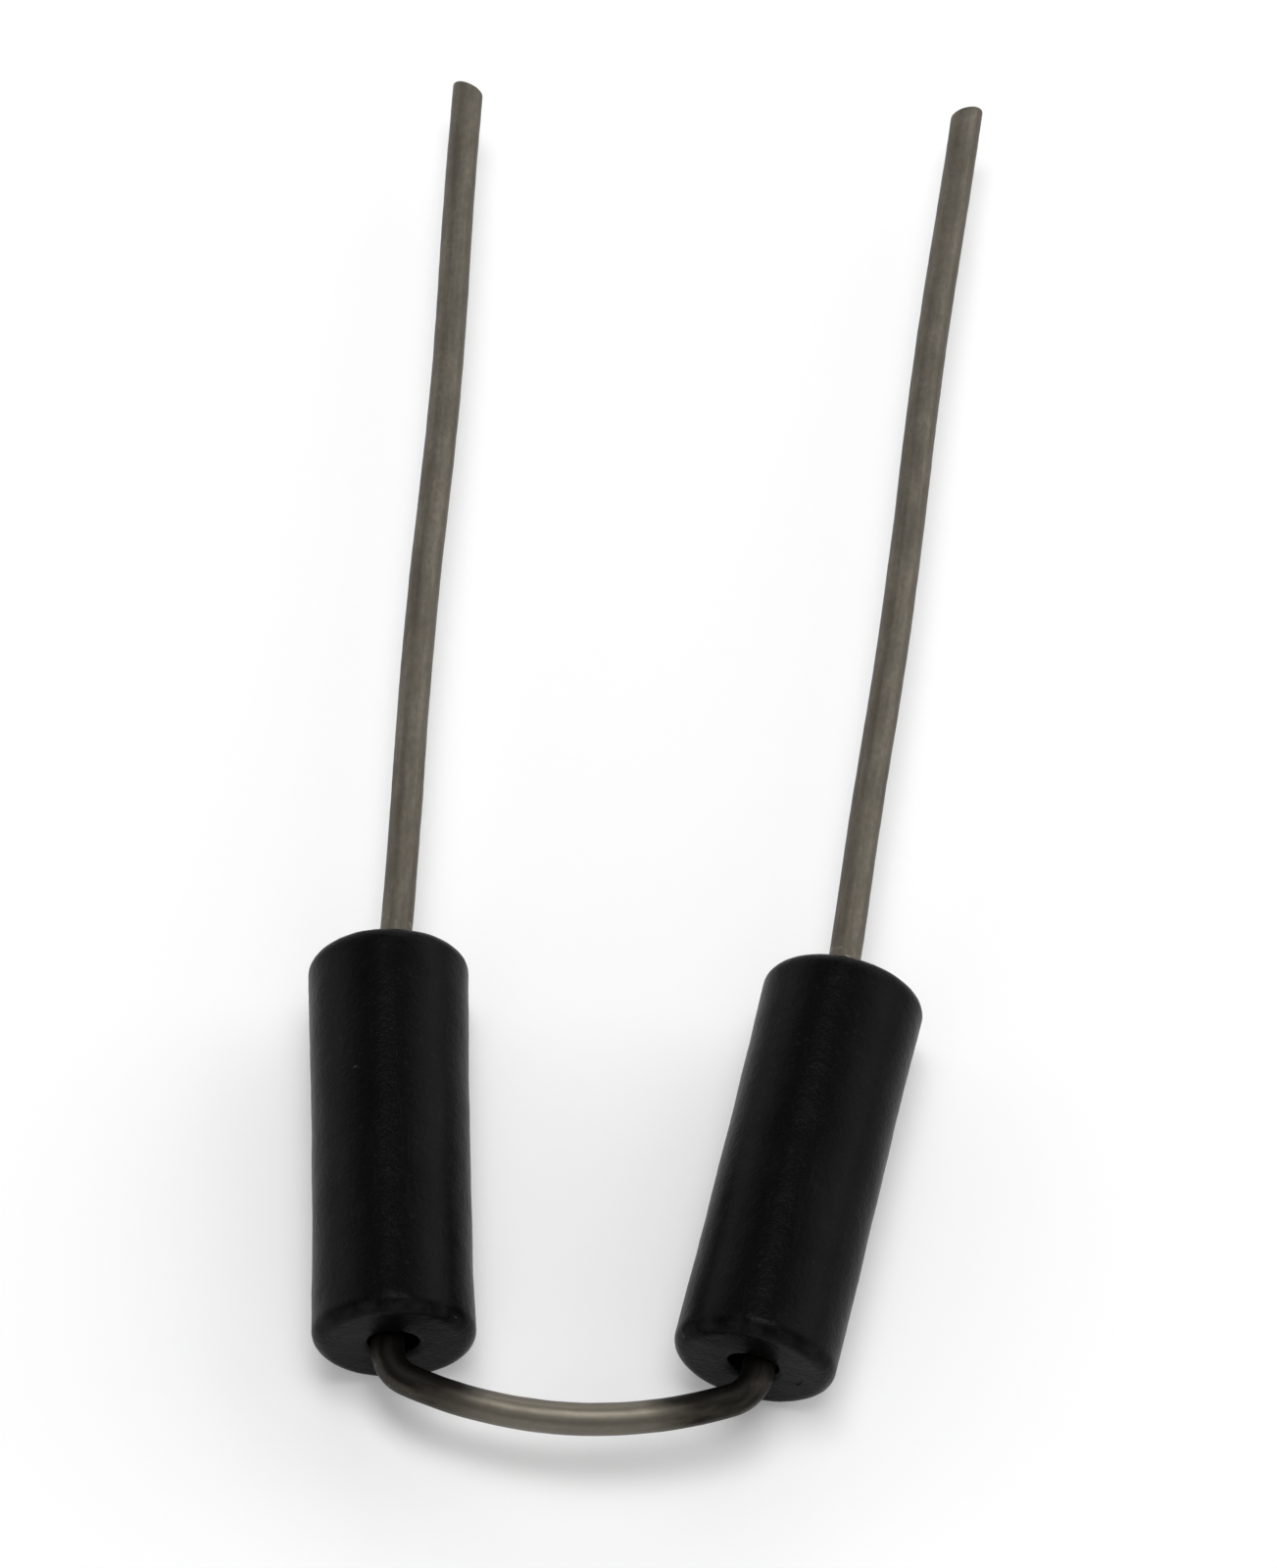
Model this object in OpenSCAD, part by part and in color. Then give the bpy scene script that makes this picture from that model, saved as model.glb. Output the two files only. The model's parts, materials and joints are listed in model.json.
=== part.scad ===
// Double ferrite bead: two plain ferrite beads threaded on one tinned copper wire.
// The wire is bent into a U, so both leads leave the part on the same side.
//
// The part lies as it comes to rest on a table. Both beads touch Z = 0, the bridge of
// the U is at the -Y end, the leads run towards +Y, and the halves mirror each other
// about X = 0. The origin is on the table, under the middle of the part's outline.

/* [Beads] */
// Outer diameter of a bead
bead_d = 3.5; // [3:0.1:6]
// Length of a bead
bead_len = 9.2; // [4:0.1:16]
// Radius that tumbling leaves on the outer edges
bead_edge_r = 0.35; // [0.05:0.05:0.45]
// Radius of the mouths of the bore
bore_mouth_r = 0.15; // [0.05:0.05:0.25]
// Gap all round between the bore and a wire that runs along its axis
bore_clearance = 0.15; // [0.05:0.01:0.2]
// Gap left where a bead that leans on its wire comes nearest to it
lean_gap = 0.02; // [0.01:0.005:0.04]

/* [Wire] */
// Diameter of the wire
wire_d = 0.7; // [0.5:0.05:1]
// Depth all round by which bending draws the wire thinner
bend_thinning = 0.01; // [0.005:0.005:0.03]
// Straight length of each lead, from its kink to its cut end
lead_len = 22.5; // [5:0.5:40]
// Angle of the cut that the shears leave across a lead's end
shear_angle = 20; // [0:1:40]

/* [Forming of the U] */
// Distance between the bead axes, at the bead ends that face the bridge
bead_pitch = 7.5; // [6.5:0.1:12]
// Angle by which each bead's axis leans outwards from the middle plane
bead_splay = 7.2; // [6:0.1:12]
// Angle by which each lead leans outwards from the middle plane
lead_splay = 2.2; // [0:0.1:4]
// Centre-line radius of the two bends beside the bridge
bend_r = 0.8; // [0.7:0.05:1.5]
// Centre-line radius of the shallow bow along the bridge
bow_r = 9; // [7:0.5:60]
// Centre-line radius of the kink that turns each lead back inwards
kink_r = 4; // [3:0.5:12]
// Bare straight wire between a bead and the bend at the bridge
bridge_gap = 0.1; // [0.1:0.05:1]
// Bare straight wire between a bead and the kink of its lead
kink_gap = 0.15; // [0.1:0.05:1]

/* [Hidden] */

ferrite_black = [0.10, 0.10, 0.10];
tin_grey = [0.62, 0.60, 0.54];

bead_facets = 60;
edge_facets = 24;
wire_facets = 36;

bead_r = bead_d / 2;
wire_r = wire_d / 2;
bore_r = wire_r + bore_clearance;
axis_height = bead_r;

// A full-size piece of the wire reaches this far over the thinner start of a bend
lap = 0.04;

// The run through a bead, counted along the leg from the bead's end at the bridge
run_start = -bridge_gap;
run_end = bead_len + kink_gap;

// A bead leans further out than the wire inside it, by as much as the bore lets it
bead_lean = asin((bore_clearance - lean_gap) / (bead_len / 2));
leg_splay = bead_splay - bead_lean;

// The kink gives back part of the leg's splay
kink_angle = leg_splay - lead_splay;

// The point on a leg's axis that is half a bead's length before the middle of its bead
leg_x = bead_pitch / 2 + bead_len / 2 * (sin(bead_splay) - sin(leg_splay));
leg_y = bead_len / 2 * (cos(bead_splay) - cos(leg_splay));

// The point where the straight run of a leg meets its bend, seen from above
bend_x = leg_x + run_start * sin(leg_splay);
bend_y = leg_y + run_start * cos(leg_splay);

// The bow takes up what the bends leave of the width, so the angle between its
// middle and its end follows from the widths and the two radii
bow_angle = asin((bend_x - bend_r * cos(leg_splay)) / (bow_r - bend_r));
bend_angle = 90 - leg_splay - bow_angle;

bow_lap_angle = lap / bow_r * 180 / PI;

// Centre of the bow: the centre of each bend lies on a line from it
bow_y = bend_y + bend_r * sin(leg_splay) + (bow_r - bend_r) * cos(bow_angle);

// Ends of the part along Y, before it is centred: the bow's outside and the cut ends
front_y = bow_y - bow_r - wire_r;
kink_y = leg_y + run_end * cos(leg_splay) + kink_r * (sin(leg_splay) - sin(lead_splay));
back_y = kink_y + lead_len * cos(lead_splay) - wire_r * sin(lead_splay);
centre_y = (front_y + back_y) / 2;

// A straight piece of the wire, from the origin along +Y
module wire_straight(length) {
    rotate([-90, 0, 0]) cylinder(r = wire_r, h = length, $fn = wire_facets);
}

// A curved piece of the wire round the origin, counter-clockwise from the direction start
module wire_arc(radius, start, angle, thinning = 0) {
    rotate([0, 0, start])
        rotate_extrude(angle = angle, $fn = wire_facets * 2)
            translate([radius, 0]) circle(r = wire_r - thinning, $fn = wire_facets);
}

// A lead from the end of its kink along +Y, cut across at a slant by the shears
module sheared_lead() {
    difference() {
        translate([0, -lap, 0]) wire_straight(lead_len + lap);
        translate([wire_r, lead_len, 0])
            rotate([0, 0, shear_angle])
                translate([-wire_d * 2, 0, -wire_d])
                    cube([wire_d * 3, wire_d * 2, wire_d * 2]);
    }
}

// Half section of a bead: X is the distance from the bore's axis, Y runs along it
module bead_section() {
    wall_mid = bore_r + bore_mouth_r;
    wall_out = bead_r - bead_edge_r;
    translate([wall_mid, 0]) square([wall_out - wall_mid, bead_len]);
    translate([bore_r, bore_mouth_r]) square([bore_mouth_r, bead_len - 2 * bore_mouth_r]);
    translate([wall_out, bead_edge_r]) square([bead_edge_r, bead_len - 2 * bead_edge_r]);
    for (end_y = [bore_mouth_r, bead_len - bore_mouth_r])
        translate([wall_mid, end_y]) circle(r = bore_mouth_r, $fn = edge_facets);
    for (end_y = [bead_edge_r, bead_len - bead_edge_r])
        translate([wall_out, end_y]) circle(r = bead_edge_r, $fn = edge_facets);
}

// A bead along +Y, with the middle of its length at the origin
module bead() {
    color(ferrite_black)
        rotate([-90, 0, 0]) translate([0, 0, -bead_len / 2])
            rotate_extrude($fn = bead_facets) bead_section();
}

// Moves what is drawn along a leg's axis to its place on the right of the U
module on_right_leg() {
    translate([leg_x, leg_y - centre_y, axis_height]) rotate([0, 0, -leg_splay]) children();
}

// The right half of the wire, apart from the bow: bend, run through the bead, kink, lead
module right_leg() {
    on_right_leg() {
        translate([-bend_r, run_start, 0])
            wire_arc(bend_r, -bend_angle, bend_angle, bend_thinning);
        translate([0, run_start - lap, 0]) wire_straight(run_end - run_start + 2 * lap);
        translate([-kink_r, run_end, 0]) {
            wire_arc(kink_r, 0, kink_angle, bend_thinning);
            rotate([0, 0, kink_angle]) translate([kink_r, 0, 0]) sheared_lead();
        }
    }
}

module lead_wire() {
    color(tin_grey) {
        translate([0, bow_y - centre_y, axis_height])
            wire_arc(bow_r, -90 - bow_angle - bow_lap_angle, 2 * (bow_angle + bow_lap_angle));
        right_leg();
        mirror([1, 0, 0]) right_leg();
    }
}

module bead_right() {
    on_right_leg() translate([0, bead_len / 2, 0]) rotate([0, 0, -bead_lean]) bead();
}

module bead_left() {
    mirror([1, 0, 0]) bead_right();
}

bead_left();
bead_right();
lead_wire();
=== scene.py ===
import json
import math
import random

import bmesh
import bpy
from mathutils import Matrix, Vector


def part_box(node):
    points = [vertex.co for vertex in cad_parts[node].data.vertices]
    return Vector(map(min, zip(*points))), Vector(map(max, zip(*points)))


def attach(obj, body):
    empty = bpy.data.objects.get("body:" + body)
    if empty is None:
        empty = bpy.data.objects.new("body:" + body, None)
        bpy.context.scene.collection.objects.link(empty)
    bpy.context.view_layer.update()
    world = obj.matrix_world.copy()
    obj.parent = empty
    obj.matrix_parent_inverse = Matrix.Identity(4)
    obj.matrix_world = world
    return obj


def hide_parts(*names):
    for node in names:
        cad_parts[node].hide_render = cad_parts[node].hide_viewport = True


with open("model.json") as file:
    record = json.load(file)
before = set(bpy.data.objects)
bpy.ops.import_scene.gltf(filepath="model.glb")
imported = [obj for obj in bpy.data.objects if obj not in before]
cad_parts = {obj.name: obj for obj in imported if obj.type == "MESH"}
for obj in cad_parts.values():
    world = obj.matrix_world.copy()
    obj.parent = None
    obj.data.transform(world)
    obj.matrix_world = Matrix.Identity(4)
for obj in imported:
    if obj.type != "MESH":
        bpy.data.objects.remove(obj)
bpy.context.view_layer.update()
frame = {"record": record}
bpy.ops.object.select_all(action="DESELECT")

# --------------------------------------------------------------------------------------
# Beads. Each is one cylinder of black ferrite: powder pressed round a core pin, sintered
# and tumbled. Tumbling rounds the rims, knocks small chips out of them and leaves the
# wall matt and finely grained. Nothing fixes a bead: it sits loose on its wire.
# --------------------------------------------------------------------------------------
BEAD_LENGTH = 0.0092
BEAD_SPLAY = math.radians(7.2)
RIM_RADIUS = 0.00035
BORE_RADIUS = 0.0005
MOUTH_RADIUS = 0.00015
BEAD_FACETS = 192
RIM_STEPS = 10
MOUTH_STEPS = 5
WALL_CUTS = 130
END_CUTS = 9
BORE_CUTS = 24
# How far the rims are worn past their own rounding, in rim radii, and how fast that fades
WORN_REACH = 0.8
WORN_FADE = 0.8
# Depths of the relief, and the share of each that goes inwards from the bead's true size
PRESSED_DEPTH = 0.000045
TUMBLED_DEPTH = 0.00001
SUNK_SHARE = 0.9
CHIP_ROUGHNESS = 0.00003
BEAD_SMOOTH_ANGLE = math.radians(38)
# Points this near to each other are one point, and two heights this near are the same
SAME_POINT = 1e-7
SAME_HEIGHT = 1e-6

bead_low, bead_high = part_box("bead_right")
bead_radius = (bead_high.z - bead_low.z) / 2
bead_middle = (bead_low + bead_high) / 2
half_length = BEAD_LENGTH / 2
wall_end = half_length - RIM_RADIUS
face_edge = bead_radius - RIM_RADIUS


def take_up(piece):
    """Selects one piece, and nothing else."""
    bpy.ops.object.select_all(action="DESELECT")
    bpy.context.view_layer.objects.active = piece
    piece.select_set(True)


def begin_edit(piece):
    """Opens one piece, and nothing else, for edits."""
    take_up(piece)
    bpy.ops.object.mode_set(mode="EDIT")


def pick(piece, kind, test):
    """Selects the faces whose middle, edges whose ends or points whose place passes the test."""
    bpy.ops.mesh.select_mode(type=kind)
    bpy.ops.mesh.select_all(action="DESELECT")
    edit = bmesh.from_edit_mesh(piece.data)
    if kind == "FACE":
        for face in edit.faces:
            face.select_set(test(face.calc_center_median()))
    elif kind == "EDGE":
        for edge in edit.edges:
            edge.select_set(test(edge.verts[0].co, edge.verts[1].co))
    else:
        for vertex in edit.verts:
            vertex.select_set(test(vertex.co))
    edit.select_flush_mode()
    bmesh.update_edit_mesh(piece.data)


def from_axis(point):
    """Distance of a point from a bead's own axis."""
    return math.hypot(point.x, point.y)


def on_wall(a, b):
    """True for an edge on the outside of a bead."""
    return min(from_axis(a), from_axis(b)) > bead_radius * 0.9


def in_bore(a, b):
    """True for an edge in the bore of a bead, or at its mouth."""
    return max(from_axis(a), from_axis(b)) < BORE_RADIUS * 1.2


def runs_round(a, b):
    """True for an edge that runs round a bead."""
    return abs(a.z - b.z) < SAME_HEIGHT


def runs_along(a, b):
    """True for an edge that runs along most of a bead."""
    return abs(a.z - b.z) > half_length


bpy.ops.mesh.primitive_cylinder_add(
    vertices=BEAD_FACETS,
    radius=bead_radius,
    depth=BEAD_LENGTH,
    end_fill_type="NGON",
    location=bead_middle,
    rotation=(-math.pi / 2, 0, -BEAD_SPLAY),
)
bead_right = bpy.context.object
bead_right.name = "bead_right_ferrite"

# The bore: both end faces are inset to its size and bridged through the bead
begin_edit(bead_right)
pick(bead_right, "FACE", lambda middle: from_axis(middle) < bead_radius / 2)
bpy.ops.mesh.inset(thickness=bead_radius - BORE_RADIUS, depth=0, use_individual=True)
bpy.ops.mesh.bridge_edge_loops()

# The rims and the mouths of the bore are rounded
pick(bead_right, "EDGE", lambda a, b: on_wall(a, b) and runs_round(a, b))
bpy.ops.mesh.bevel(offset=RIM_RADIUS, segments=RIM_STEPS, profile=0.5, affect="EDGES")
pick(bead_right, "EDGE", lambda a, b: in_bore(a, b) and runs_round(a, b))
bpy.ops.mesh.bevel(offset=MOUTH_RADIUS, segments=MOUTH_STEPS, profile=0.5, affect="EDGES")

# The long strips of the wall, the bore and the ends are cut up for the relief
pick(bead_right, "EDGE", lambda a, b: on_wall(a, b) and runs_along(a, b))
bpy.ops.mesh.subdivide(number_cuts=WALL_CUTS)
pick(bead_right, "EDGE", lambda a, b: in_bore(a, b) and runs_along(a, b))
bpy.ops.mesh.subdivide(number_cuts=BORE_CUTS)
pick(bead_right, "EDGE", lambda a, b: abs(from_axis(a) - from_axis(b)) > bead_radius / 4)
bpy.ops.mesh.subdivide(number_cuts=END_CUTS)
bpy.ops.mesh.select_all(action="SELECT")
bpy.ops.mesh.remove_doubles(threshold=SAME_POINT)
bpy.ops.mesh.normals_make_consistent(inside=False)
bpy.ops.object.mode_set(mode="OBJECT")

# Where the rims are worn, and each point's place on the bead, stay with the surface
rim_shares = []
for vertex in bead_right.data.vertices:
    past_wall = (abs(vertex.co.z) - wall_end) / RIM_RADIUS
    past_face = (from_axis(vertex.co) - face_edge) / RIM_RADIUS
    on_rim = min(past_wall, past_face) > -WORN_REACH
    worn_share = max(0, 1 - abs(past_wall - past_face) * WORN_FADE)
    rim_shares.append(worn_share if on_rim else 0)
wear_values = bead_right.data.attributes.new("rim_wear", "FLOAT", "POINT")
wear_values.data.foreach_set("value", rim_shares)
own_places = [number for vertex in bead_right.data.vertices for number in vertex.co]
place_values = bead_right.data.attributes.new("own_place", "FLOAT_VECTOR", "POINT")
place_values.data.foreach_set("vector", own_places)

# The wall draws in a little towards its middle, as it shrank in the kiln
wall_points = bead_right.vertex_groups.new(name="wall_points")
for vertex in bead_right.data.vertices:
    if from_axis(vertex.co) > face_edge:
        along = vertex.co.z / half_length
        wall_points.add([vertex.index], max(0, 1 - along * along), "REPLACE")

# The second bead is a copy with its own mesh, turned to the other leg of the wire
bpy.ops.object.duplicate()
bead_left = bpy.context.object
bead_left.name = "bead_left_ferrite"
bead_left.location.x = -bead_middle.x
bead_left.rotation_euler.z = BEAD_SPLAY

ferrite = bpy.data.materials.new("sintered_ferrite")
broken_ferrite = bpy.data.materials.new("broken_ferrite")

pressing_lumps = bpy.data.textures.new("pressing_lumps", "CLOUDS")
pressing_lumps.noise_scale = 0.0019
tumbled_grit = bpy.data.textures.new("tumbled_grit", "CLOUDS")
tumbled_grit.noise_scale = 0.00022
tumbled_grit.noise_depth = 3


def wear_bead(bead, waist, chips, seed):
    """Gives a bead its own relief and chips, and puts its place into its mesh.

    The waist is how far the wall draws in at its middle. Each chip is a place along the
    bead, a turn round its axis in degrees, a distance from the axis and a size.
    """
    drawn_in = bead.modifiers.new("waist", "DISPLACE")
    drawn_in.vertex_group = "wall_points"
    drawn_in.strength = -waist
    drawn_in.mid_level = 0
    for title, depth, source in (
        ("pressed", PRESSED_DEPTH, pressing_lumps),
        ("tumbled", TUMBLED_DEPTH, tumbled_grit),
    ):
        relief = bead.modifiers.new(title, "DISPLACE")
        relief.texture = source
        relief.texture_coords = "GLOBAL"
        relief.strength = depth
        relief.mid_level = SUNK_SHARE
    take_up(bead)
    for title in ("waist", "pressed", "tumbled"):
        bpy.ops.object.modifier_apply(modifier=title)
    bead.data.materials.clear()
    bead.data.materials.append(ferrite)

    # A chip is shallow, longest along the rim, and never quite the same twice
    dice = random.Random(seed)
    cutters = []
    for along, turn, out, size in chips:
        angle = math.radians(turn)
        place = bead.matrix_world @ Vector((math.cos(angle) * out, math.sin(angle) * out, along))
        across_rim = Matrix.Rotation(math.radians(turn + dice.uniform(-20, 20)), 3, "Z")
        bpy.ops.mesh.primitive_ico_sphere_add(
            subdivisions=2,
            radius=size,
            location=place,
            rotation=(bead.matrix_world.to_3x3() @ across_rim).to_euler(),
            scale=(dice.uniform(0.5, 0.7), dice.uniform(1.1, 1.7), dice.uniform(0.5, 0.8)),
        )
        bpy.context.object.data.materials.append(broken_ferrite)
        cutters.append(bpy.context.object)
    take_up(cutters[0])
    for cutter in cutters:
        cutter.select_set(True)
    bpy.ops.object.join()
    bpy.ops.object.mode_set(mode="EDIT")
    bpy.ops.mesh.select_all(action="SELECT")
    bpy.ops.transform.vertex_random(offset=CHIP_ROUGHNESS, seed=seed)
    bpy.ops.object.mode_set(mode="OBJECT")
    fracture = bead.modifiers.new("chips", "BOOLEAN")
    fracture.operation = "DIFFERENCE"
    fracture.object = cutters[0]
    fracture.solver = "EXACT"
    fracture.material_mode = "TRANSFER"
    take_up(bead)
    bpy.ops.object.modifier_apply(modifier="chips")
    bpy.data.objects.remove(cutters[0])

    # Faces with many sides are left beside the chips, and are cut into triangles
    bpy.ops.object.mode_set(mode="EDIT")
    bpy.ops.mesh.select_mode(type="FACE")
    bpy.ops.mesh.select_all(action="SELECT")
    bpy.ops.mesh.remove_doubles(threshold=SAME_POINT)
    bpy.ops.mesh.select_face_by_sides(number=4, type="GREATER", extend=False)
    bpy.ops.mesh.quads_convert_to_tris(ngon_method="BEAUTY")
    bpy.ops.object.mode_set(mode="OBJECT")
    bead.vertex_groups.clear()
    bpy.ops.object.shade_smooth_by_angle(angle=BEAD_SMOOTH_ANGLE)
    bpy.ops.object.transform_apply(location=True, rotation=True, scale=True)


# Chips are centred just under the surface: in both rims, in an end face and in the wall
bridge_rim = -half_length + 0.00003
lead_rim = half_length - 0.00003
rim_line = bead_radius - 0.00004
bridge_face = -half_length + 0.00002
wall_line = bead_radius - 0.00001
wear_bead(
    bead_right,
    waist=0.00002,
    chips=[
        (bridge_rim, 205, rim_line, 0.00021),
        (bridge_rim, 292, rim_line, 0.00015),
        (lead_rim, 238, rim_line, 0.00017),
        (lead_rim, 318, rim_line, 0.00022),
        (lead_rim, 60, rim_line, 0.00019),
        (bridge_face, 20, bead_radius * 0.6, 0.00010),
    ],
    seed=3,
)
wear_bead(
    bead_left,
    waist=0.00005,
    chips=[
        (bridge_rim, 326, rim_line, 0.00016),
        (bridge_rim, 222, rim_line, 0.00015),
        (lead_rim, 222, rim_line, 0.00019),
        (lead_rim, 281, rim_line, 0.00015),
        (lead_rim, 120, rim_line, 0.00021),
        (0.00122, 246, wall_line, 0.00011),
        (0.00112, 249, wall_line, 0.00008),
    ],
    seed=5,
)
for bead, node_name in ((bead_left, "bead_left"), (bead_right, "bead_right")):
    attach(bead, "root")
    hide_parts(node_name)


def give(tree, socket, value):
    """Links a socket to another one, or sets it to a plain value."""
    if isinstance(value, bpy.types.NodeSocket):
        tree.links.new(value, socket)
    else:
        socket.default_value = value


def add_node(tree, kind, settings=None, **inputs):
    """Adds a shader node with its settings and its named inputs."""
    made = tree.nodes.new(kind)
    for key, value in (settings or {}).items():
        setattr(made, key, value)
    for key, value in inputs.items():
        give(tree, made.inputs[key.replace("_", " ")], value)
    return made


def ramp(tree, source, stops):
    """Adds a colour ramp from two stops, each a position and a grey."""
    made = add_node(tree, "ShaderNodeValToRGB", Fac=source)
    for point, (position, grey) in zip(made.color_ramp.elements, stops):
        point.position = position
        point.color = (grey, grey, grey, 1)
    return made.outputs["Color"]


def work_out(tree, operation, first, second):
    """Adds a maths node with two inputs."""
    made = add_node(tree, "ShaderNodeMath", {"operation": operation})
    give(tree, made.inputs[0], first)
    give(tree, made.inputs[1], second)
    return made.outputs[0]


def less(tree, value, mask, amount):
    """Takes an amount off a value where a mask is full."""
    return work_out(tree, "SUBTRACT", value, work_out(tree, "MULTIPLY", mask, amount))


def lay_over(tree, under, over, mask, strength=1):
    """Lays a colour over another one, as far as a mask and a strength say."""
    share = mask if strength == 1 else work_out(tree, "MULTIPLY", mask, strength)
    made = add_node(tree, "ShaderNodeMix", {"data_type": "RGBA"})
    # On this node, 0 is the share, 6 and 7 are the two colours, and 2 is the mixed one
    for number, value in ((0, share), (6, under), (7, over)):
        give(tree, made.inputs[number], value)
    return made.outputs[2]


def open_finish(material):
    """Opens a material, and returns its tree and its one Principled shader."""
    material.use_nodes = True
    tree = material.node_tree
    return tree, tree.nodes["Principled BSDF"]


# Grain: the sintered grains and the pits between them as a height, and, as masks, the grains
# that get painted glints and the broad mottling
grain = bpy.data.node_groups.new("sintered_grain", "ShaderNodeTree")
grain.interface.new_socket("Place", in_out="INPUT", socket_type="NodeSocketVector")
grain.interface.new_socket("Size", in_out="INPUT", socket_type="NodeSocketFloat")
grain.interface.new_socket("Height", in_out="OUTPUT", socket_type="NodeSocketFloat")
grain.interface.new_socket("PaintedGlint", in_out="OUTPUT", socket_type="NodeSocketFloat")
grain.interface.new_socket("Mottle", in_out="OUTPUT", socket_type="NodeSocketFloat")
grain_in = grain.nodes.new("NodeGroupInput")
grain_out = grain.nodes.new("NodeGroupOutput")
grain_place = grain_in.outputs["Place"]
per_metre = work_out(grain, "DIVIDE", 1.0, grain_in.outputs["Size"])
fine = add_node(
    grain, "ShaderNodeTexNoise", Vector=grain_place, Scale=per_metre, Detail=3.0, Roughness=0.6
)
cells = add_node(
    grain,
    "ShaderNodeTexVoronoi",
    Vector=grain_place,
    Scale=work_out(grain, "MULTIPLY", per_metre, 1.4),
)
broad = add_node(
    grain,
    "ShaderNodeTexNoise",
    Vector=grain_place,
    Scale=work_out(grain, "MULTIPLY", per_metre, 0.07),
    Detail=4.0,
    Roughness=0.55,
)
pitted = ramp(grain, cells.outputs["Distance"], [(0.0, 0.35), (0.35, 1.0)])
grain_height = work_out(grain, "MULTIPLY", fine.outputs["Fac"], pitted)
painted_glint = ramp(grain, cells.outputs["Color"], [(0.86, 0.0), (0.93, 1.0)])
grain_mottle = ramp(grain, broad.outputs["Fac"], [(0.32, 0.0), (0.7, 1.0)])
grain.links.new(grain_height, grain_out.inputs["Height"])
grain.links.new(painted_glint, grain_out.inputs["PaintedGlint"])
grain.links.new(grain_mottle, grain_out.inputs["Mottle"])

DARK_FERRITE = (0.0009, 0.00095, 0.00095, 1)
LIGHT_FERRITE = (0.0021, 0.0022, 0.0021, 1)
PAINTED_GLINT_GREY = (0.010, 0.010, 0.0097, 1)
SCUFF_GREY = (0.008, 0.008, 0.0077, 1)
WORN_RIM_GREY = (0.014, 0.014, 0.0135, 1)
tree, shader = open_finish(ferrite)
object_place = add_node(tree, "ShaderNodeTexCoord").outputs["Object"]
own = add_node(tree, "ShaderNodeAttribute", {"attribute_name": "own_place"})
worn = add_node(tree, "ShaderNodeAttribute", {"attribute_name": "rim_wear"})
skin = add_node(tree, "ShaderNodeGroup", {"node_tree": grain}, Place=object_place, Size=0.00011)
# Tumbling marks: short scuffs along the wall
along_bead = add_node(
    tree, "ShaderNodeMapping", Vector=own.outputs["Vector"], Scale=(5200.0, 5200.0, 620.0)
)
scuffs = add_node(
    tree,
    "ShaderNodeTexNoise",
    Vector=along_bead.outputs["Vector"],
    Scale=1.0,
    Detail=2.0,
    Distortion=0.6,
)
scuff_mask = ramp(tree, scuffs.outputs["Fac"], [(0.60, 0.0), (0.72, 1.0)])
wear_noise = add_node(tree, "ShaderNodeTexNoise", Vector=object_place, Scale=3300.0, Detail=5.0)
worn_spots = ramp(tree, wear_noise.outputs["Fac"], [(0.42, 0.0), (0.6, 1.0)])
rim_mask = work_out(tree, "MULTIPLY", worn.outputs["Fac"], worn_spots)
body_black = lay_over(tree, DARK_FERRITE, LIGHT_FERRITE, skin.outputs["Mottle"])
# Lighter grains painted on as glints
with_painted_glints = lay_over(tree, body_black, PAINTED_GLINT_GREY, skin.outputs["PaintedGlint"], 0.3)
with_scuffs = lay_over(tree, with_painted_glints, SCUFF_GREY, scuff_mask, 0.2)
with_rims = lay_over(tree, with_scuffs, WORN_RIM_GREY, rim_mask, 0.45)
tree.links.new(with_rims, shader.inputs["Base Color"])
matt_body = less(tree, 0.35, skin.outputs["Mottle"], 0.05)
tree.links.new(less(tree, matt_body, rim_mask, 0.04), shader.inputs["Roughness"])
shader.inputs["Specular IOR Level"].default_value = 0.045
skin_height = less(tree, skin.outputs["Height"], scuff_mask, 0.1)
bump = add_node(tree, "ShaderNodeBump", Height=skin_height, Strength=0.55, Distance=0.00002)
tree.links.new(bump.outputs["Normal"], shader.inputs["Normal"])

# Inside a chip the ferrite breaks along its grains: greyer and rougher, with small painted glints
# on single grains
DARK_BREAK = (0.018, 0.018, 0.0175, 1)
LIGHT_BREAK = (0.034, 0.034, 0.033, 1)
PAINTED_FACET_GREY = (0.09, 0.09, 0.087, 1)
tree, shader = open_finish(broken_ferrite)
object_place = add_node(tree, "ShaderNodeTexCoord").outputs["Object"]
break_grain = add_node(
    tree, "ShaderNodeGroup", {"node_tree": grain}, Place=object_place, Size=0.00006
)
broken_grey = lay_over(tree, DARK_BREAK, LIGHT_BREAK, break_grain.outputs["Mottle"])
# Lighter grains painted on as glints on the broken face
with_painted_facets = lay_over(tree, broken_grey, PAINTED_FACET_GREY, break_grain.outputs["PaintedGlint"])
tree.links.new(with_painted_facets, shader.inputs["Base Color"])
shader.inputs["Roughness"].default_value = 0.55
shader.inputs["Specular IOR Level"].default_value = 0.12
bump = add_node(
    tree,
    "ShaderNodeBump",
    Height=break_grain.outputs["Height"],
    Strength=0.9,
    Distance=0.00002,
)
tree.links.new(bump.outputs["Normal"], shader.inputs["Normal"])

# --------------------------------------------------------------------------------------
# Lead wire. One length of drawn copper wire, hot-dipped in tin, threaded through both
# beads and bent cold round formers: kink, bend, bowed bridge, bend, kink. Shears cut both
# ends at a slant, which rolls the rim over and bares the copper.
# --------------------------------------------------------------------------------------
RUN_LENGTH = 0.00945
KINK_RADIUS = 0.004
BEND_RADIUS = 0.0008
BOW_RADIUS = 0.009
# A bead leans further out than the wire inside it, as far as its bore lets it
LEG_SPLAY = math.radians(5.5806)
SHEAR_ANGLE = math.radians(20)
WIRE_SIDES = 44
LEAD_STEPS = 150
RUN_STEPS = 60
KINK_STEPS = 4
BEND_STEPS = 16
BOW_STEPS = 60
# How far from the start of a kink, and from the middle of a bend, formers marked the wire
KINK_GRIP = 0.0009
BEND_GRIP = 0.0011
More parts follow.
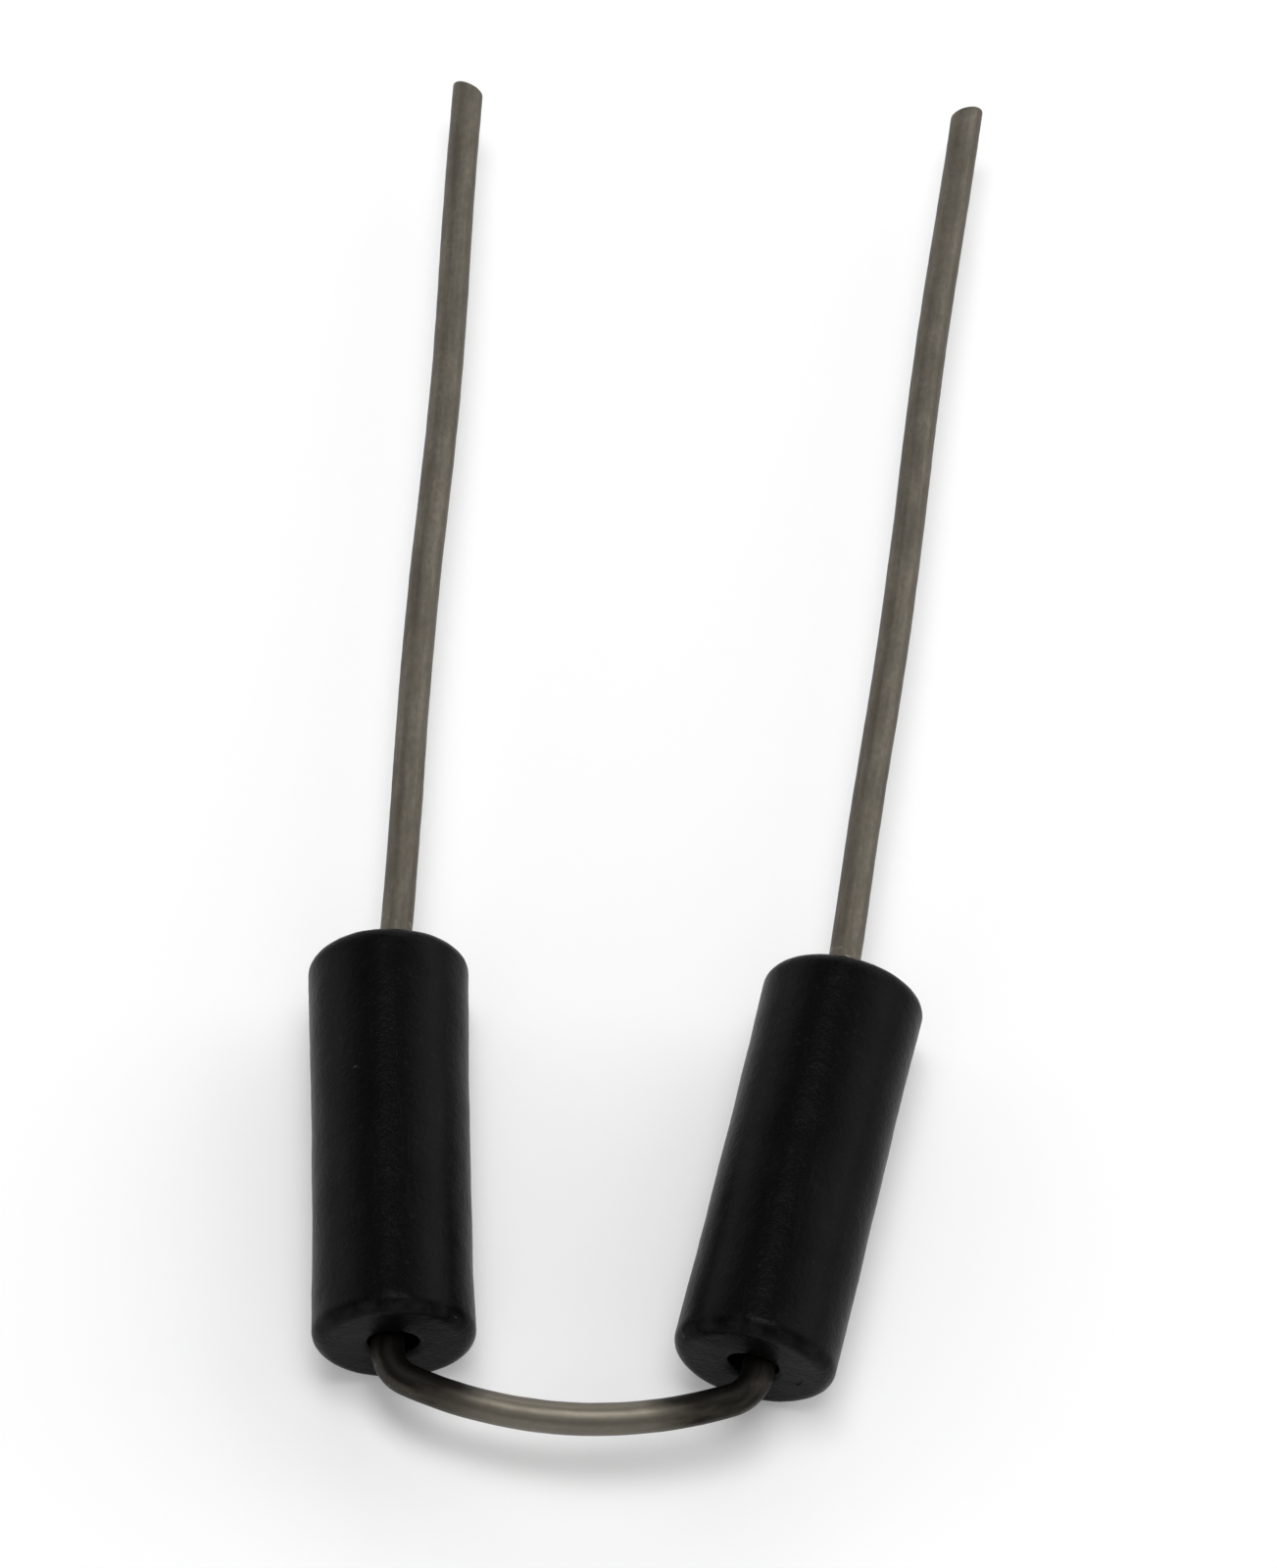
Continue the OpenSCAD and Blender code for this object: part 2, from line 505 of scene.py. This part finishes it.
# Painted shade darkens a bend and this much wire before and after it, and fades out over its
# reach. The painted highlight on the bridge begins where that painted shade begins to fade
SHADE_BEFORE_BEND = 0.0003
SHADE_AFTER_BEND = 0.0007
SHADE_REACH = 0.0013
HIGHLIGHT_REACH = 0.0016
# The sheared tips: how much of a lead the shears work on, where its rings are cleared for
# the cut, how level one ring is, the rolled rim, the ring of tin, and the raised core
TIP_STRETCH = 0.002
CLEARED_FROM = 0.0001
CLEARED_TO = 0.0004
SAME_RING = 0.00001
RIM_ROLL = 0.000035
TIN_RING = 0.00003
CORE_SLOPE = 0.00012
CORE_RISE = 0.00001
# Handling pushes this much of a lead on each side of a place, and this much follows it
PUSHED_REACH = 0.0001
HANDLING_REACH = 0.0055
# Depth of the unevenness of the tin, and the share of it that goes inwards
TIN_UNEVENNESS = 0.000018
TIN_SUNK_SHARE = 0.8
WIRE_SMOOTH_ANGLE = math.radians(40)
UP = Vector((0, 0, 1))

mounts = {mount["name"]: mount for mount in frame["record"]["mounts"]}
lead_base = Vector(mounts["lead_right"]["pos_m"])
lead_way = Vector(mounts["lead_right"]["axis"]).normalized()
lead_length = mounts["lead_right"]["dims"]["length_mm"] / 1000
wire_radius = mounts["lead_right"]["dims"]["r_mm"] / 1000
lead_tip = lead_base + lead_way * lead_length
lead_splay = math.atan2(lead_way.x, lead_way.y)
kink_angle = LEG_SPLAY - lead_splay

# The end of the wire: a ring at the right lead's tip, square to the lead
bpy.ops.mesh.primitive_circle_add(
    vertices=WIRE_SIDES,
    radius=wire_radius,
    fill_type="NOTHING",
    location=lead_tip,
    rotation=(-math.pi / 2, 0, -lead_splay),
)
wire = bpy.context.object
wire.name = "lead_wire_tinned"
bpy.ops.object.transform_apply(location=True, rotation=True, scale=True)

begin_edit(wire)
bpy.ops.mesh.select_mode(type="EDGE")
bpy.ops.mesh.select_all(action="SELECT")
wire_end = {"place": lead_tip, "way": -lead_way}
ring_steps = [0.0]


def feed_straight(length, steps):
    """Extrudes the wire straight on."""
    bpy.ops.mesh.extrude_repeat(steps=steps, offset=wire_end["way"] * (length / steps))
    wire_end["place"] = wire_end["place"] + wire_end["way"] * length
    ring_steps.extend([length / steps] * steps)


def bend_round_former(radius, angle, steps):
    """Spins the wire clockwise, seen from above, with that radius along its middle."""
    centre = wire_end["place"] + wire_end["way"].cross(UP) * radius
    bpy.ops.mesh.spin(steps=steps, angle=angle, center=centre, axis=UP)
    turn = Matrix.Rotation(-angle, 4, "Z")
    wire_end["place"] = centre + turn @ (wire_end["place"] - centre)
    wire_end["way"] = turn @ wire_end["way"]
    ring_steps.extend([radius * angle / steps] * steps)


feed_straight(lead_length, LEAD_STEPS)
bend_round_former(KINK_RADIUS, kink_angle, KINK_STEPS)
feed_straight(RUN_LENGTH, RUN_STEPS)
bow_half = math.asin(
    (wire_end["place"].x - BEND_RADIUS * math.cos(LEG_SPLAY)) / (BOW_RADIUS - BEND_RADIUS)
)
bend_angle = math.pi / 2 - LEG_SPLAY - bow_half
bend_round_former(BEND_RADIUS, bend_angle, BEND_STEPS)
bend_round_former(BOW_RADIUS, 2 * bow_half, BOW_STEPS)
bend_round_former(BEND_RADIUS, bend_angle, BEND_STEPS)
feed_straight(RUN_LENGTH, RUN_STEPS)
bend_round_former(KINK_RADIUS, kink_angle, KINK_STEPS)
feed_straight(lead_length, LEAD_STEPS)
bpy.ops.object.mode_set(mode="OBJECT")

# Each point keeps its place on the wire as it was before bending, and how far the
# formers marked it, painted shade darkens it and the bridge's painted highlight brightens it
ring_places = []
wire_length = 0.0
for step in ring_steps:
    wire_length += step
    ring_places.append(wire_length)
bend_start = lead_length + KINK_RADIUS * kink_angle + RUN_LENGTH
bend_stop = bend_start + BEND_RADIUS * bend_angle
# Where the painted shade at each bend begins and ends
shade_start = bend_start - SHADE_BEFORE_BEND
shade_stop = bend_stop + SHADE_AFTER_BEND
first_ring = [wire.data.vertices[number].co - lead_tip for number in range(WIRE_SIDES)]
across_lead = lead_way.cross(UP)
unbent_places = []
worked_shares = []
bend_shade_shares = []
bridge_highlight_shares = []
for vertex in wire.data.vertices:
    spoke = first_ring[vertex.index % WIRE_SIDES]
    along_wire = ring_places[vertex.index // WIRE_SIDES]
    unbent_places += [spoke.dot(across_lead), spoke.z, along_wire]
    from_end = min(along_wire, wire_length - along_wire)
    from_kink = abs(from_end - lead_length) / KINK_GRIP
    from_bend = abs(from_end - (bend_start + bend_stop) / 2) / BEND_GRIP
    worked_shares.append(max(0, 1 - min(from_kink, from_bend)))
    past_shade = max(shade_start - from_end, from_end - shade_stop)
    bend_shade_shares.append(min(1, max(0, 1 - past_shade / SHADE_REACH)))
    bridge_highlight_shares.append(min(1, max(0, (from_end - shade_stop) / HIGHLIGHT_REACH)))
unbent_values = wire.data.attributes.new("unbent_place", "FLOAT_VECTOR", "POINT")
unbent_values.data.foreach_set("vector", unbent_places)
for title, shares in (
    ("worked", worked_shares),
    ("bend_shade", bend_shade_shares),
    ("bridge_highlight", bridge_highlight_shares),
):
    share_values = wire.data.attributes.new(title, "FLOAT", "POINT")
    share_values.data.foreach_set("value", shares)

tinned = bpy.data.materials.new("dull_tin")
bare_copper = bpy.data.materials.new("sheared_copper")
wire.data.materials.append(tinned)
wire.data.materials.append(bare_copper)


def shear_lead(side):
    """Cuts the right (1) or left (-1) lead at a slant, and bares its copper core."""
    tip_way = Vector((lead_way.x * side, lead_way.y, 0))
    outward = Vector((lead_way.y * side, -lead_way.x, 0))
    tip = Vector((lead_tip.x * side, lead_tip.y, lead_tip.z))
    cut_edge = tip + outward * wire_radius
    cut_normal = tip_way * math.cos(SHEAR_ANGLE) - outward * math.sin(SHEAR_ANGLE)

    def back_from_tip(at):
        """How far back from this tip a point lies. The other lead counts as far away."""
        return (tip - at).dot(tip_way) if at.x * side > 0 else lead_length

    def on_crossed_ring(a, b):
        """True for an edge of the rings that the slanted cut would cross or come close to."""
        near, far = sorted((back_from_tip(a), back_from_tip(b)))
        return CLEARED_FROM < near and far < CLEARED_TO and far - near < SAME_RING

    def on_cut(at):
        """True for a point on the sheared face."""
        near_tip = (at - tip).length < wire_radius * 3
        return near_tip and abs((at - cut_edge).dot(cut_normal)) < SAME_HEIGHT

    pick(wire, "EDGE", on_crossed_ring)
    bpy.ops.mesh.dissolve_edges(use_verts=True)
    pick(wire, "VERT", lambda at: at.x * side > 0 and at.y > tip.y - TIP_STRETCH)
    bpy.ops.mesh.bisect(
        plane_co=cut_edge,
        plane_no=cut_normal,
        use_fill=True,
        clear_outer=True,
        threshold=SAME_POINT,
    )
    pick(wire, "EDGE", lambda a, b: on_cut(a) and on_cut(b))
    bpy.ops.mesh.bevel(offset=RIM_ROLL, segments=3, profile=0.5, affect="EDGES")
    pick(wire, "FACE", on_cut)
    bpy.ops.mesh.inset(thickness=TIN_RING, depth=0)
    wire.active_material_index = 1
    bpy.ops.object.material_slot_assign()
    bpy.ops.mesh.inset(thickness=CORE_SLOPE, depth=CORE_RISE)


begin_edit(wire)
for side in (1, -1):
    shear_lead(side)
bpy.ops.mesh.select_all(action="SELECT")
bpy.ops.mesh.remove_doubles(threshold=SAME_POINT)
bpy.ops.mesh.normals_make_consistent(inside=False)

# Handling leaves the leads a little out of straight: on each side, two places along the
# lead are pushed sideways, and the wire beside them follows
for side, way_along, shift in (
    (1, 0.0085, 0.00006),
    (1, 0.0165, -0.00005),
    (-1, 0.007, -0.00005),
    (-1, 0.0148, 0.00007),
):
    lead_start = Vector((lead_base.x * side, lead_base.y, lead_base.z))
    tip_way = Vector((lead_way.x * side, lead_way.y, 0))
    pick(
        wire,
        "VERT",
        lambda at: at.x * side > 0
        and abs((at - lead_start).dot(tip_way) - way_along) < PUSHED_REACH,
    )
    bpy.ops.transform.translate(
        value=(shift, 0, 0),
        use_proportional_edit=True,
        proportional_edit_falloff="SMOOTH",
        proportional_size=HANDLING_REACH,
    )
bpy.ops.object.mode_set(mode="OBJECT")

dipping = bpy.data.textures.new("dipping_unevenness", "CLOUDS")
dipping.noise_scale = 0.0006
uneven = wire.modifiers.new("uneven_tin", "DISPLACE")
uneven.texture = dipping
uneven.texture_coords = "GLOBAL"
uneven.strength = TIN_UNEVENNESS
uneven.mid_level = TIN_SUNK_SHARE
bpy.ops.object.modifier_apply(modifier="uneven_tin")
bpy.ops.object.shade_smooth_by_angle(angle=WIRE_SMOOTH_ANGLE)
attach(wire, "root")
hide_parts("lead_wire")

# Drawn surface: lines that run along the wire, patches where the tin took unevenly,
# nicks, and the grey bloom of old tin. Each is a stretched noise on the unbent wire
drawn = bpy.data.node_groups.new("drawn_surface", "ShaderNodeTree")
drawn.interface.new_socket("Place", in_out="INPUT", socket_type="NodeSocketVector")
for mark in ("Lines", "Patches", "Nicks", "Bloom"):
    drawn.interface.new_socket(mark, in_out="OUTPUT", socket_type="NodeSocketFloat")
drawn_in = drawn.nodes.new("NodeGroupInput")
drawn_out = drawn.nodes.new("NodeGroupOutput")
for mark, stretch, detail, stops in (
    ("Lines", (17000.0, 17000.0, 350.0), 3.0, [(0.3, 0.0), (0.7, 1.0)]),
    ("Patches", (2600.0, 2600.0, 900.0), 4.0, [(0.35, 0.0), (0.65, 1.0)]),
    ("Nicks", (3800.0, 3800.0, 7500.0), 2.0, [(0.62, 0.0), (0.7, 1.0)]),
    ("Bloom", (11000.0, 11000.0, 7000.0), 3.0, [(0.36, 0.0), (0.64, 1.0)]),
):
    stretched = add_node(
        drawn, "ShaderNodeMapping", Vector=drawn_in.outputs["Place"], Scale=stretch
    )
    noise = add_node(
        drawn,
        "ShaderNodeTexNoise",
        Vector=stretched.outputs["Vector"],
        Scale=1.0,
        Detail=detail,
    )
    drawn.links.new(ramp(drawn, noise.outputs["Fac"], stops), drawn_out.inputs[mark])

DARK_TIN = (0.090, 0.080, 0.064, 1)
LIGHT_TIN = (0.124, 0.111, 0.090, 1)
LINE_TIN = (0.19, 0.174, 0.145, 1)
BLOOM_GREY = (0.072, 0.063, 0.050, 1)
BRIDGE_HIGHLIGHT_TIN = (0.235, 0.213, 0.175, 1)
NICK_TIN = (0.25, 0.23, 0.19, 1)
PAINTED_SHADE_BLACK = (0.007, 0.0068, 0.006, 1)
tree, shader = open_finish(tinned)
unbent = add_node(tree, "ShaderNodeAttribute", {"attribute_name": "unbent_place"})
surface = add_node(
    tree, "ShaderNodeGroup", {"node_tree": drawn}, Place=unbent.outputs["Vector"]
)
lines = surface.outputs["Lines"]
patches = surface.outputs["Patches"]
tin_colour = lay_over(tree, DARK_TIN, LIGHT_TIN, patches)
with_lines = lay_over(tree, tin_colour, LINE_TIN, lines, 0.2)
with_bloom = lay_over(tree, with_lines, BLOOM_GREY, surface.outputs["Bloom"], 0.4)
# The bow of the bridge gets a painted highlight: lighter tin, and a smoother finish
bridge_highlight = add_node(tree, "ShaderNodeAttribute", {"attribute_name": "bridge_highlight"}).outputs["Fac"]
with_bridge_highlight = lay_over(tree, with_bloom, BRIDGE_HIGHLIGHT_TIN, bridge_highlight, 0.36)
# The nicks show only where the formers gripped the wire
worked = add_node(tree, "ShaderNodeAttribute", {"attribute_name": "worked"}).outputs["Fac"]
tool_marks = work_out(tree, "MULTIPLY", surface.outputs["Nicks"], worked)
with_marks = lay_over(tree, with_bridge_highlight, NICK_TIN, tool_marks)
# Painted shade darkens both bends nearly to black, most of all on their inner side next to
# the beads, and more where the tin took unevenly
bend_shade = add_node(tree, "ShaderNodeAttribute", {"attribute_name": "bend_shade"}).outputs["Fac"]
outer_side = add_node(tree, "ShaderNodeSeparateXYZ", Vector=unbent.outputs["Vector"]).outputs["X"]
shade_weight = work_out(tree, "ADD", work_out(tree, "MULTIPLY", patches, 0.5), 0.9)
shade_weight = less(tree, shade_weight, outer_side, 0.45 / wire_radius)
shade_edge = work_out(tree, "MULTIPLY", bend_shade, shade_weight)
painted_shade_mask = ramp(tree, shade_edge, [(0.15, 0.0), (0.9, 1.0)])
with_painted_shade = lay_over(tree, with_marks, PAINTED_SHADE_BLACK, painted_shade_mask, 0.93)
tree.links.new(with_painted_shade, shader.inputs["Base Color"])
matt_tin = less(tree, 0.6, lines, 0.04)
matt_tin = less(tree, matt_tin, patches, 0.05)
# Smoother where the bridge has its painted highlight
matt_tin = less(tree, matt_tin, bridge_highlight, 0.1)
tree.links.new(matt_tin, shader.inputs["Roughness"])
shader.inputs["Metallic"].default_value = 1.0
tin_height = work_out(tree, "ADD", patches, work_out(tree, "MULTIPLY", lines, 0.4))
tin_height = less(tree, tin_height, tool_marks, 0.8)
bump = add_node(tree, "ShaderNodeBump", Height=tin_height, Strength=0.35, Distance=0.000008)
tree.links.new(bump.outputs["Normal"], shader.inputs["Normal"])

# The sheared face: bright copper, dragged over with smears of tin
COPPER = (0.30, 0.155, 0.085, 1)
SMEARED_TIN = (0.20, 0.175, 0.14, 1)
tree, shader = open_finish(bare_copper)
object_place = add_node(tree, "ShaderNodeTexCoord").outputs["Object"]
dragged = add_node(
    tree, "ShaderNodeMapping", Vector=object_place, Scale=(2200.0, 2200.0, 14000.0)
)
smears = add_node(
    tree, "ShaderNodeTexNoise", Vector=dragged.outputs["Vector"], Scale=1.0, Detail=3.0
)
smear_mask = ramp(tree, smears.outputs["Fac"], [(0.42, 0.0), (0.62, 1.0)])
with_smears = lay_over(tree, COPPER, SMEARED_TIN, smear_mask)
tree.links.new(with_smears, shader.inputs["Base Color"])
rough_smears = work_out(tree, "ADD", 0.34, work_out(tree, "MULTIPLY", smear_mask, 0.14))
tree.links.new(rough_smears, shader.inputs["Roughness"])
shader.inputs["Metallic"].default_value = 1.0
bump = add_node(
    tree, "ShaderNodeBump", Height=smears.outputs["Fac"], Strength=0.6, Distance=0.00001
)
tree.links.new(bump.outputs["Normal"], shader.inputs["Normal"])

# --------------------------------------------------------------------------------------
# Studio: a plain pale table and five soft lamps: two low at the back left and right, one
# above, one behind and one high in front. The room is white round the horizon and dim
# overhead.
# --------------------------------------------------------------------------------------
TABLE_RADIUS = 3.0
TABLE_DROP = 0.00001
TABLE_COLOUR = (0.80, 0.80, 0.80, 1)
TABLE_GLOW = 0.125
LAMP_DISTANCE = 0.5

bpy.ops.object.select_all(action="DESELECT")
bpy.ops.mesh.primitive_circle_add(
    vertices=96, radius=TABLE_RADIUS, fill_type="NGON", location=(0, 0, -TABLE_DROP)
)
table = bpy.context.object
table.name = "table_top"
bpy.ops.object.transform_apply(location=True, rotation=True, scale=True)
paper = bpy.data.materials.new("pale_table")
paper.use_nodes = True
tree = paper.node_tree
tree.nodes.clear()
lit = add_node(tree, "ShaderNodeBsdfDiffuse", Color=TABLE_COLOUR)
# What the camera, metal and glass see of the table is lifted towards white
paths = add_node(tree, "ShaderNodeLightPath").outputs
mirrored = work_out(tree, "MAXIMUM", paths["Is Glossy Ray"], paths["Is Transmission Ray"])
seen = work_out(tree, "MAXIMUM", paths["Is Camera Ray"], mirrored)
glow = add_node(
    tree,
    "ShaderNodeEmission",
    Color=(1, 1, 1, 1),
    Strength=work_out(tree, "MULTIPLY", seen, TABLE_GLOW),
)
both = tree.nodes.new("ShaderNodeAddShader")
tree.links.new(lit.outputs["BSDF"], both.inputs[0])
tree.links.new(glow.outputs["Emission"], both.inputs[1])
table_out = tree.nodes.new("ShaderNodeOutputMaterial")
tree.links.new(both.outputs["Shader"], table_out.inputs["Surface"])
table.data.materials.append(paper)

for name, way, size, power in (
    ("lamp_left", (-0.80, 0.42, 0.42), (0.47, 0.375), 0.44),
    ("lamp_right", (0.75, 0.46, 0.48), (0.50, 0.42), 1.15),
    ("lamp_above", (0.06, 0.06, 1.0), (0.34, 0.18), 1.35),
    ("lamp_back", (0.0, 0.84, 0.54), (0.36, 0.14), 0.36),
    ("lamp_front", (0.05, -0.52, 0.85), (0.50, 0.38), 0.42),
):
    lamp_data = bpy.data.lights.new(name, "AREA")
    lamp_data.shape = "RECTANGLE"
    lamp_data.size, lamp_data.size_y = size
    lamp_data.energy = power
    lamp = bpy.data.objects.new(name, lamp_data)
    bpy.context.scene.collection.objects.link(lamp)
    lamp.location = Vector(way).normalized() * LAMP_DISTANCE
    lamp.rotation_mode = "QUATERNION"
    lamp.rotation_quaternion = lamp.location.to_track_quat("Z", "Y")
    lamp.visible_camera = False

room = bpy.data.worlds.new("pale_room")
bpy.context.scene.world = room
room.use_nodes = True
tree = room.node_tree
direction = add_node(tree, "ShaderNodeTexCoord").outputs["Generated"]
height = add_node(tree, "ShaderNodeSeparateXYZ", Vector=direction).outputs["Z"]
room_tone = ramp(tree, height, [(0.30, 1.0), (0.58, 0.04)])
tree.links.new(room_tone, tree.nodes["Background"].inputs["Color"])

# --------------------------------------------------------------------------------------
# Camera: a long lens, high in front of the bridge and a little to its right. It looks down
# on the beads, and is itself rolled a little.
# --------------------------------------------------------------------------------------
CAMERA_LENS = 205.5
CAMERA_PLACE = (0.01856, -0.09923, 0.16698)
CAMERA_TARGET = Vector((0, -0.0012, 0.00175))
CAMERA_ROLL = math.radians(-5.92)

camera_data = bpy.data.cameras.new("camera")
camera_data.lens = CAMERA_LENS
camera_data.clip_start = 0.01
camera_data.clip_end = 20.0
camera = bpy.data.objects.new("camera", camera_data)
bpy.context.scene.collection.objects.link(camera)
camera.location = CAMERA_PLACE
camera.rotation_mode = "QUATERNION"
level_view = (CAMERA_TARGET - camera.location).to_track_quat("-Z", "Y")
camera.rotation_quaternion = level_view @ Matrix.Rotation(CAMERA_ROLL, 4, "Z").to_quaternion()
bpy.context.scene.camera = camera
bpy.context.scene.view_settings.view_transform = "Standard"
